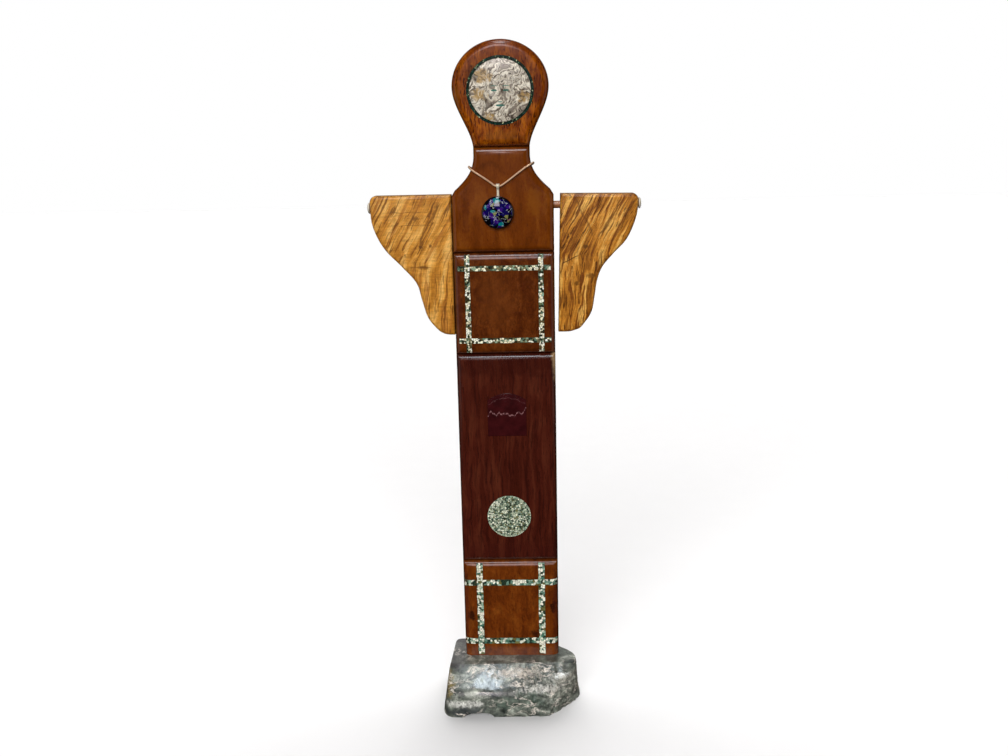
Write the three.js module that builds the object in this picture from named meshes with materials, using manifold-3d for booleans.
// A winged wooden post figure on a polished stone: a totem pole about 600 mm tall.
// Millimetres, +Z up. The post faces -Y and +X is on the right of someone looking at its front.
// The origin is on the flat underside of the stone, under the middle of the post.

import * as THREE from 'three';
import { mergeVertices } from 'three/addons/utils/BufferGeometryUtils.js';
import Module from 'manifold-3d';

const wasm = await Module();
wasm.setup();

// Driving dimensions -------------------------------------------------------------------------

const GAP = 0.3; // kept between pieces that touch
const POST_WIDTH = 88.4;
const POST_DEPTH = 22;
const POST_EDGE = 6.35; // quarter-round edge all round the front and the back of each block
const STONE_HEIGHT = 40;
const BODY_TOP = 560.3; // top of the head above the stone

// Heights of the joints between the blocks, above the stone.
const LOWER_PANEL_TOP = 95.4;
const MIDDLE_TOP = 292;
const UPPER_PANEL_TOP = 382.2;
const NECK_TOP = 472.1;

const HEAD_WIDTH = 82.2;
const HEAD_WIDEST = 521.9;
const NECK_WIDTH = 48.4;

const HEAD_STONE_HEIGHT = 518.4;
const HEAD_STONE_DIAMETER = 52;
const HEAD_RING_WIDTH = 2.5;
const MIDDLE_DISC_HEIGHT = 139.6;
const MIDDLE_DISC_DIAMETER = 40;
const TABLET_WIDTH = 34.8;
const TABLET_BOTTOM = 216.6;
const TABLET_SHOULDER = 250;
const TABLET_TOP = 256.3;
const INLAY_DEPTH = 2.6;

// The crossed bands of crushed stone on the two panels: heights above the stone.
const UPPER_BANDS = {
  spread: 32.2,
  upright: { width: 4.8, from: 293.4, to: 380.8 },
  level: { width: 4.8, heights: [304.5, 368.7], length: 81.6 },
};
const LOWER_BANDS = {
  spread: 28.9,
  upright: { width: 6.2, from: 1.2, to: 93.2 },
  level: { width: 6.1, heights: [15, 74.1], length: 87 },
};

const ROD_DIAMETER = 6.35;
const ROD_HEIGHT = 422; // axis, above the stone
const ROD_IN_CAP = 0.9;
const CAP_PLAY = 0.6; // between a cap and the widest part of its wing
const CAP_DIAMETER = 9.5;
const CAP_HEIGHT = 2.2;
const WING_TOP = 432.5;
const WING_DEPTH = 16;
const WING_EDGE = 3;
const WING_CORNER = 5;
const WING_BORE = 7.3;
const LEFT_WING_INNER = -45;
const RIGHT_WING_INNER = 49.9;

const CHAIN_DIAMETER = 1.7;
const CHAIN_SIDES = 8;
const CHAIN_STEPS = 52;
const CLASP_LENGTH = 9.4;
const CLASP_DIAMETER = 3;
const CLASP_PLACE = [0, 13, 451.6];
const BAIL_PLACE = [-3.6, -13.4, 439.3];
const PENDANT_HEIGHT = 417;
const PENDANT_DIAMETER = 28;
const PENDANT_THICKNESS = 6;

// Finishes -----------------------------------------------------------------------------------

const finish = (color, roughness, metalness = 0) =>
  new THREE.MeshStandardMaterial({ color, roughness, metalness });

const FINISH = {
  redBrown: finish('#5a2410', 0.25),
  burl: finish('#5c2a10', 0.25),
  purpleBrown: finish('#34100c', 0.25),
  rosewood: finish('#6a3212', 0.25),
  honey: finish('#b8803a', 0.35),
  rod: finish('#a8663c', 0.3),
  cap: finish('#e6ddc8', 0.3),
  crushed: finish('#9fb59c', 0.6),
  darkCrushed: finish('#1d3a30', 0.6),
  banded: finish('#c9bda6', 0.2),
  tablet: finish('#2a0a12', 0.2),
  marble: finish('#6f766c', 0.2),
  gold: finish('#d9b98e', 0.25, 1),
  silver: finish('#cfc7b4', 0.25, 1),
  glass: finish('#1b1250', 0.08),
};

// Solids -------------------------------------------------------------------------------------

// A geometry with only merged positions, as closed solids need.
function bare(geometry) {
  geometry.deleteAttribute('normal');
  geometry.deleteAttribute('uv');
  return mergeVertices(geometry, 1e-4);
}

function solid(geometry) {
  const merged = bare(geometry);
  return new wasm.Manifold(
    new wasm.Mesh({
      numProp: 3,
      vertProperties: new Float32Array(merged.attributes.position.array),
      triVerts: new Uint32Array(merged.index.array),
    }),
  );
}

function geometryOf(manifold) {
  const mesh = manifold.getMesh();
  const geometry = new THREE.BufferGeometry();
  geometry.setAttribute('position', new THREE.BufferAttribute(new Float32Array(mesh.vertProperties), 3));
  geometry.setIndex(new THREE.BufferAttribute(new Uint32Array(mesh.triVerts), 1));
  geometry.computeVertexNormals();
  return geometry;
}

const flat = (x, z) => new THREE.Vector2(x, z);

// A board cut to an outline in X and Z, centred on Y = 0, with quarter-round edges front and back.
function board(outline, depth, edge, edgeSteps = 4) {
  const geometry = new THREE.ExtrudeGeometry(new THREE.Shape(outline), {
    depth: depth - 2 * edge,
    steps: 1,
    bevelEnabled: edge > 0,
    bevelThickness: edge,
    bevelSize: edge,
    bevelOffset: -edge,
    bevelSegments: edgeSteps,
  });
  geometry.translate(0, 0, edge - depth / 2);
  geometry.rotateX(Math.PI / 2);
  return geometry;
}

// The plain rectangle of a block from one height to another.
function rectangle(width, from, to) {
  const half = width / 2;
  return [flat(-half, from), flat(half, from), flat(half, to), flat(-half, to)];
}

// A flat slab with square edges between two depths behind the front face of the post.
function slab(outline, fromDepth, toDepth) {
  const geometry = board(outline, toDepth - fromDepth, 0);
  geometry.translate(0, (fromDepth + toDepth) / 2 - POST_DEPTH / 2, 0);
  return geometry;
}

// A cylinder lying along X.
function bar(diameter, fromX, toX, height, sides) {
  const geometry = new THREE.CylinderGeometry(diameter / 2, diameter / 2, toX - fromX, sides);
  geometry.rotateZ(Math.PI / 2);
  geometry.translate((fromX + toX) / 2, 0, height);
  return geometry;
}

// The outline of a circle in X and Z.
function circle(diameter, height, sides) {
  const turn = (i) => (2 * Math.PI * i) / sides;
  return Array.from({ length: sides }, (_, i) =>
    flat((diameter / 2) * Math.cos(turn(i)), height + (diameter / 2) * Math.sin(turn(i))));
}

// Mirrors the right half of an outline, listed from the bottom up, to make the whole.
function symmetric(rightHalf) {
  const leftHalf = rightHalf.filter((p) => p.x > 1e-6).map((p) => flat(-p.x, p.y)).reverse();
  return [...rightHalf, ...leftHalf];
}

// The post -----------------------------------------------------------------------------------

function headOutline() {
  const neck = NECK_WIDTH / 2;
  const wide = HEAD_WIDTH / 2;
  const cheek = new THREE.CubicBezierCurve(
    flat(neck, NECK_TOP + GAP), flat(neck + 1.3, 487), flat(wide, 505), flat(wide, HEAD_WIDEST));
  const crownSteps = 11;
  const crown = Array.from({ length: crownSteps }, (_, i) => {
    const angle = (Math.PI / 2) * ((i + 1) / crownSteps);
    return flat(wide * Math.cos(angle), HEAD_WIDEST + (BODY_TOP - HEAD_WIDEST) * Math.sin(angle));
  });
  return symmetric([...cheek.getPoints(8), ...crown]);
}

function cornerOutline() {
  const half = POST_WIDTH / 2;
  const neck = NECK_WIDTH / 2;
  const slope = new THREE.CubicBezierCurve(
    flat(41.2, 435.8), flat(31, 445), flat(neck, 452), flat(neck, 466));
  return symmetric([
    flat(half, UPPER_PANEL_TOP + GAP),
    flat(half, 431),
    ...slope.getPoints(9),
    flat(neck, NECK_TOP),
  ]);
}

function block(from, to) {
  return solid(board(rectangle(POST_WIDTH, from, to), POST_DEPTH, POST_EDGE));
}

// The crossed bands of a panel as one prism, grown by a margin all round and in depth.
function bandPrism(bands, margin) {
  const depth = INLAY_DEPTH + margin;
  const proud = POST_EDGE;
  const uprights = [-bands.spread, bands.spread].map((x) => {
    const width = bands.upright.width + 2 * margin;
    const strip = rectangle(width, bands.upright.from - margin, bands.upright.to + margin);
    return solid(slab(strip, -proud, depth).translate(x, 0, 0));
  });
  const levels = bands.level.heights.map((z) => {
    const half = bands.level.width / 2 + margin;
    return solid(slab(rectangle(bands.level.length + 2 * margin, z - half, z + half), -proud, depth));
  });
  return [...uprights, ...levels].reduce((all, strip) => all.add(strip));
}

// A block with a square foot, sawn from a longer one whose edges are all rounded.
function squareFootedBlock(from, to) {
  return block(from - POST_EDGE, to).trimByPlane([0, 0, 1], from);
}

// A panel block and the crushed-stone bands that fill its grooves flush.
function bandedPanel(whole, bands) {
  return {
    wood: geometryOf(whole.subtract(bandPrism(bands, GAP))),
    inlay: geometryOf(whole.intersect(bandPrism(bands, 0))),
  };
}

function tabletOutline(margin) {
  const half = TABLET_WIDTH / 2 + margin;
  const rise = TABLET_TOP - TABLET_SHOULDER;
  const archSteps = 10;
  const arch = Array.from({ length: archSteps + 1 }, (_, i) => {
    const across = 1 - (2 * i) / archSteps;
    return flat(half * across, TABLET_SHOULDER + margin + rise * (1 - across * across));
  });
  return [flat(-half, TABLET_BOTTOM - margin), flat(half, TABLET_BOTTOM - margin), ...arch];
}

function middleBlock() {
  const disc = circle(MIDDLE_DISC_DIAMETER + 2 * GAP, MIDDLE_DISC_HEIGHT, 40);
  return geometryOf(
    block(LOWER_PANEL_TOP + GAP, MIDDLE_TOP)
      .subtract(solid(slab(disc, -1, INLAY_DEPTH + GAP)))
      .subtract(solid(slab(tabletOutline(GAP), -1, INLAY_DEPTH + GAP))),
  );
}

function headBlock() {
  const recess = HEAD_STONE_DIAMETER + 2 * (HEAD_RING_WIDTH + GAP);
  return geometryOf(
    solid(board(headOutline(), POST_DEPTH, POST_EDGE))
      .subtract(solid(slab(circle(recess, HEAD_STONE_HEIGHT, 48), -1, INLAY_DEPTH + GAP))),
  );
}

function headRing() {
  const outer = solid(slab(
    circle(HEAD_STONE_DIAMETER + 2 * HEAD_RING_WIDTH, HEAD_STONE_HEIGHT, 48), 0, INLAY_DEPTH));
  const inner = solid(slab(circle(HEAD_STONE_DIAMETER + 2 * GAP, HEAD_STONE_HEIGHT, 48), -1, 4));
  return geometryOf(outer.subtract(inner));
}

function shoulderBlock() {
  const hole = bar(ROD_DIAMETER + 2 * GAP, -POST_WIDTH, POST_WIDTH, ROD_HEIGHT, 24);
  return geometryOf(solid(board(cornerOutline(), POST_DEPTH, POST_EDGE)).subtract(solid(hole)));
}

// The wings ----------------------------------------------------------------------------------

// Each wing as distances out from its inner edge and down from WING_TOP. The top edge may fall a
// little from its inner end to its outer one. The flank is the outer edge below the rounded top
// corner. The foot is where the straight inner edge ends, as it leans a little.
const LEFT_WING = {
  top: { inner: 0, outer: 0 },
  flank: [[70.5, 6], [68.9, 25.6], [59.9, 45.2], [44.6, 61.9], [32.4, 76.4], [28, 91.9],
    [23.3, 107.3], [15.2, 117.8], [9.7, 121.7], [5.2, 122.9]],
  foot: [0.7, 123],
};
const RIGHT_WING = {
  top: { inner: 0.9, outer: 1.9 },
  flank: [[67.3, 7.6], [65.4, 22.1], [57.7, 40.3], [45.7, 53.4], [36.3, 64.5], [31.7, 76],
    [29.4, 90], [26.3, 105], [17.5, 117.6], [12, 120.4], [7.4, 121.7], [2.5, 121.9]],
  foot: [-2.7, 121.9],
};

// A wing in its own frame: the rod is at height 0 and the inner edge meets X = 0 at the top.
// side is -1 for the wing on the left and 1 for the one on the right.
function wing({ top, flank, foot }, side) {
  const at = (out, down) => flat(out, WING_TOP - ROD_HEIGHT - down);
  const [cornerOut, cornerDown] = flank[0];
  const fall = cornerDown - top.outer;
  const cornerSteps = 4;
  const corner = Array.from({ length: cornerSteps }, (_, i) => {
    const angle = (Math.PI / 2) * (1 - i / cornerSteps);
    return at(
      cornerOut - WING_CORNER * (1 - Math.cos(angle)),
      top.outer + fall * (1 - Math.sin(angle)),
    );
  });
  const edge = new THREE.SplineCurve(flank.map(([out, down]) => at(out, down)));
  const outline = [
    at(0, top.inner),
    ...corner,
    ...edge.getPoints(3 * (flank.length - 1)),
    at(...foot),
  ];
  const placed = outline.map((p) => flat(side * p.x, p.y));
  const reach = 80;
  return geometryOf(
    solid(board(placed, WING_DEPTH, WING_EDGE, 3))
      .subtract(solid(bar(WING_BORE, -reach, reach, 0, 24))),
  );
}

// A domed cap over the rod's end, with the socket that the end sits in.
function rodCap(side) {
  const socket = ROD_DIAMETER / 2 + GAP;
  const rim = CAP_DIAMETER / 2;
  const domeSteps = 5;
  const dome = Array.from({ length: domeSteps + 1 }, (_, i) => {
    const angle = (Math.PI / 2) * (i / domeSteps);
    return new THREE.Vector2(rim * Math.cos(angle), 0.5 + (CAP_HEIGHT - 0.5) * Math.sin(angle));
  });
  dome[domeSteps].x = 0;
  const profile = [
    new THREE.Vector2(0, ROD_IN_CAP + GAP),
    new THREE.Vector2(socket, ROD_IN_CAP + GAP),
    new THREE.Vector2(socket, 0),
    new THREE.Vector2(rim, 0),
    ...dome,
  ];
  const geometry = new THREE.LatheGeometry(profile, 24);
  geometry.rotateZ(side > 0 ? -Math.PI / 2 : Math.PI / 2);
  return bare(geometry);
}

// The necklace -------------------------------------------------------------------------------

// The chain's route, from one side of the clasp behind the neck, round the left of the neck,
// down through the bail and back round the right: X, Y, and height above the stone.
const CHAIN_ROUTE = [
  [-5.2, 13, 451.6],
  [-10, 13, 451.4],
  [-15, 12.9, 451.8],
  [-20.2, 12.8, 452.8],
  [-25.8, 10.7, 454],
  [-28.4, 5, 455.2],
  [-28.5, -1.2, 455.8],
  [-28.1, -6.6, 455.3],
  [-25.7, -11.1, 453.3],
  [-20.2, -12.7, 449.6],
  [-14, -12.9, 445.5],
  [-9, -13.1, 441.9],
  [-6.4, -13.3, 440],
  [-3.6, -13.4, 439.3],
  [-0.8, -13.3, 439.8],
  [2.2, -13.1, 441.6],
  [8, -12.9, 445.7],
  [14, -12.9, 450.1],
  [19.6, -12.7, 454.2],
  [24.9, -10.6, 457.2],
  [26.8, -6, 458.2],
  [27.2, -0.5, 458.2],
  [27.1, 5, 457.4],
  [25.2, 10.6, 456],
  [19.8, 12.9, 454.2],
  [12, 13, 452.2],
  [5.2, 13, 451.6],
];

function chain() {
  const route = new THREE.CatmullRomCurve3(CHAIN_ROUTE.map(([x, y, z]) => new THREE.Vector3(x, y, z)));
  route.arcLengthDivisions = 400;
  const section = new THREE.Shape(circle(CHAIN_DIAMETER, 0, CHAIN_SIDES));
  return bare(new THREE.ExtrudeGeometry(section, { extrudePath: route, steps: CHAIN_STEPS }));
}

// A barrel clasp along X with tapered ends.
function clasp() {
  const half = CLASP_LENGTH / 2;
  const radius = CLASP_DIAMETER / 2;
  const profile = [[0, -half], [1, -half], [radius, 0.8 - half], [radius, half - 0.8], [1, half], [0, half]];
  const geometry = new THREE.LatheGeometry(profile.map(([r, z]) => new THREE.Vector2(r, z)), 16);
  return bare(geometry.rotateZ(Math.PI / 2));
}

// A strip folded over the chain as a loop, with its tail down behind the glass.
function bail() {
  const outer = 2.1;
  const inner = 1.45;
  const tailThickness = 0.8;
  const tailEnd = BAIL_PLACE[2] - PENDANT_HEIGHT + 2;
  const loop = solid(bar(2 * outer, -1.7, 1.7, 0, 20));
  const tail = new THREE.BoxGeometry(2.2, tailThickness, tailEnd);
  tail.translate(0, outer - tailThickness / 2, -tailEnd / 2);
  return geometryOf(loop.add(solid(tail)).subtract(solid(bar(2 * inner, -3, 3, 0, 20))));
}

// A domed glass disc on a thin flat back, facing -Y.
function pendant() {
  const radius = PENDANT_DIAMETER / 2;
  const rim = 1.6;
  const domeSteps = 6;
  const dome = Array.from({ length: domeSteps }, (_, i) => {
    const angle = (Math.PI / 2) * (i / domeSteps);
    return new THREE.Vector2(radius * Math.cos(angle), rim + (PENDANT_THICKNESS - rim) * Math.sin(angle));
  });
  const profile = [
    new THREE.Vector2(0, 0),
    new THREE.Vector2(radius - 0.6, 0),
    new THREE.Vector2(radius, 0.6),
    ...dome,
    new THREE.Vector2(0, PENDANT_THICKNESS),
  ];
  return bare(new THREE.LatheGeometry(profile, 36).rotateX(Math.PI));
}

// The stone ----------------------------------------------------------------------------------

// The stone's faces before polishing: the way each one looks and a point that it passes through.
const STONE_MIDDLE = new THREE.Vector3(3, -14, 18);
const STONE_FACES = [
  { face: 'top', normal: [0, 0, 1], through: [0, 0, 43] },
  { face: 'underside', normal: [0, 0, -1], through: [0, 0, -5] },
  { face: 'front', normal: [0.02, -1, 0.14], through: [0, -52.4, 4] },
  { face: 'front shoulder', normal: [0.02, -0.62, 0.78], through: [0, -32, 36] },
  { face: 'front left', normal: [-0.8, -0.6, 0.06], through: [-63.2, -47.6, 5] },
  { face: 'left', normal: [-1, 0.05, 0.16], through: [-62.2, 0, 5] },
  { face: 'back', normal: [0.06, 1, 0.14], through: [0, 26, 5] },
  { face: 'right', normal: [1, 0.06, 0.1], through: [62.4, -10, 14] },
  { face: 'broken front right', normal: [0.76, -0.65, -0.04], through: [49, -36.5, 4] },
  { face: 'back right', normal: [0.66, 0.74, 0.16], through: [51, 1.5, 38] },
];
const STONE_SHARPNESS = 18; // higher keeps the edges between the faces sharper

// The rounded body of the stone: each direction from the middle reaches a smooth blend of the faces.
function roundedStone() {
  const faces = STONE_FACES.map(({ normal, through }) => {
    const direction = new THREE.Vector3(...normal).normalize();
    const distance = new THREE.Vector3(...through).sub(STONE_MIDDLE).dot(direction);
    return { direction, distance };
  });
  const geometry = bare(new THREE.IcosahedronGeometry(1, 11));
  const points = geometry.attributes.position;
  const ray = new THREE.Vector3();
  for (let i = 0; i < points.count; i += 1) {
    ray.fromBufferAttribute(points, i).normalize();
    const reach = faces.reduce(
      (sum, { direction, distance }) =>
        sum + Math.max(0, ray.dot(direction) / distance) ** STONE_SHARPNESS, 0);
    ray.multiplyScalar(reach ** (-1 / STONE_SHARPNESS)).add(STONE_MIDDLE);
    points.setXYZ(i, ray.x, ray.y, ray.z);
  }
  return geometry;
}

// The stone sawn flat under the post and underneath, with a shallow chip out of its front foot.
function stoneBase() {
  const keep = new THREE.BoxGeometry(200, 200, STONE_HEIGHT).translate(0, 0, STONE_HEIGHT / 2);
  const chip = bare(new THREE.IcosahedronGeometry(1, 3).scale(14, 10, 4).translate(-30.5, -55, 0));
  return geometryOf(solid(roundedStone()).intersect(solid(keep)).subtract(solid(chip)));
}

// The figure ---------------------------------------------------------------------------------

const figure = new THREE.Group();

function add(parent, name, geometry, material, place = [0, 0, 0]) {
  const mesh = new THREE.Mesh(geometry, material);
  mesh.name = name;
  mesh.position.set(...place);
  parent.add(mesh);
  return mesh;
}

add(figure, 'stone_base', stoneBase(), FINISH.marble);

const post = new THREE.Group();
post.position.z = STONE_HEIGHT;
figure.add(post);

const lowerPanel = bandedPanel(squareFootedBlock(GAP, LOWER_PANEL_TOP), LOWER_BANDS);
const upperPanel = bandedPanel(block(MIDDLE_TOP + GAP, UPPER_PANEL_TOP), UPPER_BANDS);
add(post, 'lower_panel_block', lowerPanel.wood, FINISH.burl);
add(post, 'lower_panel_inlay', lowerPanel.inlay, FINISH.crushed);
add(post, 'middle_block', middleBlock(), FINISH.purpleBrown);
add(post, 'middle_disc_inlay',
  bare(slab(circle(MIDDLE_DISC_DIAMETER, MIDDLE_DISC_HEIGHT, 40), 0, INLAY_DEPTH)), FINISH.crushed);
add(post, 'middle_tablet', bare(slab(tabletOutline(0), 0, INLAY_DEPTH)), FINISH.tablet);
add(post, 'upper_panel_block', upperPanel.wood, FINISH.burl);
add(post, 'upper_panel_inlay', upperPanel.inlay, FINISH.crushed);
add(post, 'shoulder_block', shoulderBlock(), FINISH.redBrown);
add(post, 'head_block', headBlock(), FINISH.rosewood);
add(post, 'head_stone_ring', headRing(), FINISH.darkCrushed);
add(post, 'head_stone_disc',
  bare(slab(circle(HEAD_STONE_DIAMETER, HEAD_STONE_HEIGHT, 48), 0, INLAY_DEPTH)), FINISH.banded);

// The rod through the shoulders, the wings that hang on it and the caps on its ends.
const rodLine = new THREE.Group();
rodLine.position.z = ROD_HEIGHT;
post.add(rodLine);

const capLeft = LEFT_WING_INNER - LEFT_WING.flank[0][0] - CAP_PLAY;
const capRight = RIGHT_WING_INNER + RIGHT_WING.flank[0][0] + CAP_PLAY;
const rod = bar(ROD_DIAMETER, capLeft - ROD_IN_CAP, capRight + ROD_IN_CAP, 0, 24);
add(rodLine, 'wing_rod', bare(rod), FINISH.rod);
add(rodLine, 'rod_cap_left', rodCap(-1), FINISH.cap, [capLeft, 0, 0]);
add(rodLine, 'rod_cap_right', rodCap(1), FINISH.cap, [capRight, 0, 0]);
add(rodLine, 'wing_left', wing(LEFT_WING, -1), FINISH.honey, [LEFT_WING_INNER, 0, 0]);
add(rodLine, 'wing_right', wing(RIGHT_WING, 1), FINISH.honey, [RIGHT_WING_INNER, 0, 0]);

const necklace = new THREE.Group();
post.add(necklace);
add(necklace, 'necklace_chain', chain(), FINISH.gold);
add(necklace, 'chain_clasp', clasp(), FINISH.gold, CLASP_PLACE);
add(necklace, 'pendant_bail', bail(), FINISH.silver, BAIL_PLACE);
add(necklace, 'pendant', pendant(), FINISH.glass, [BAIL_PLACE[0] - 0.6, -12.4, PENDANT_HEIGHT]);

export default figure;
